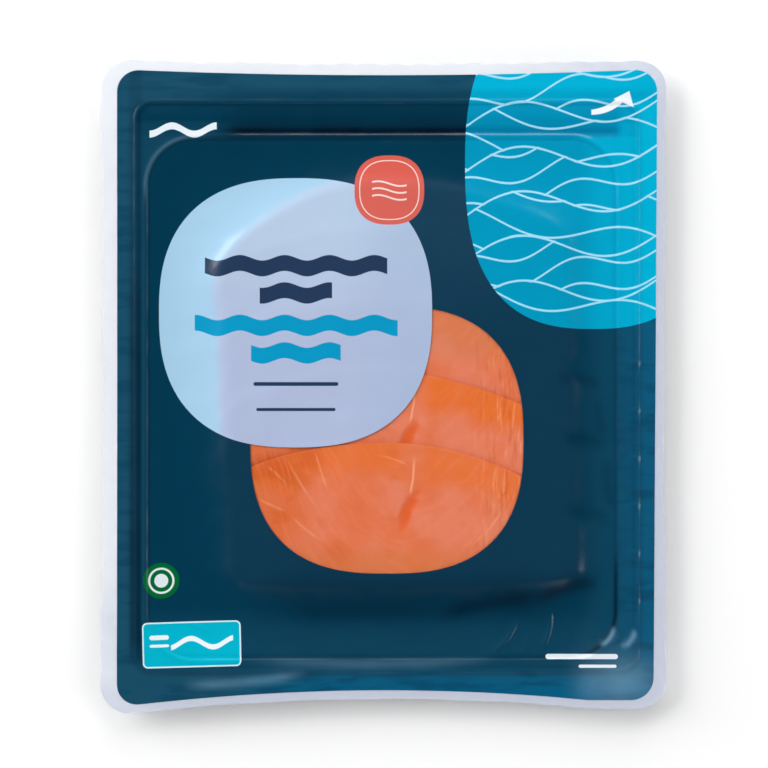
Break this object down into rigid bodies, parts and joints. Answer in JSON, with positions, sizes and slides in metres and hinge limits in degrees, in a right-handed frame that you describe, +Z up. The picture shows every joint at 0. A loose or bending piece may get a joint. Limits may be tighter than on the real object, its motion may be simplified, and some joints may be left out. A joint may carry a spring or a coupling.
{
  "type": "smoked salmon pack",
  "caption": "Flat vacuum pack of sliced smoked salmon: dark printed top film with a clear window, sealed over a shallow formed pocket.",
  "frame": {"origin": "under the middle of the pack, on the surface that its pocket lies on", "axes": "+Z up out of the printed face, +Y towards the end with the wide peel seal, +X to the right of the printed face"},
  "size_m": [0.1646, 0.19, 0.0078],
  "materials": {
    "clear_film": "clear, slightly milky film",
    "salmon": "moist, orange-pink cold-smoked fish",
    "printed_film": "glossy film, printed dark blue-green with pale, bright blue and coral fields round a clear window"
  },
  "bodies": {
    "root": {"bottom_film": "clear_film", "salmon_slice_1": "salmon", "salmon_slice_2": "salmon", "salmon_slice_3": "salmon", "salmon_slice_4": "salmon", "salmon_slice_5": "salmon", "top_film": "printed_film"}
  },
  "joints": []
}
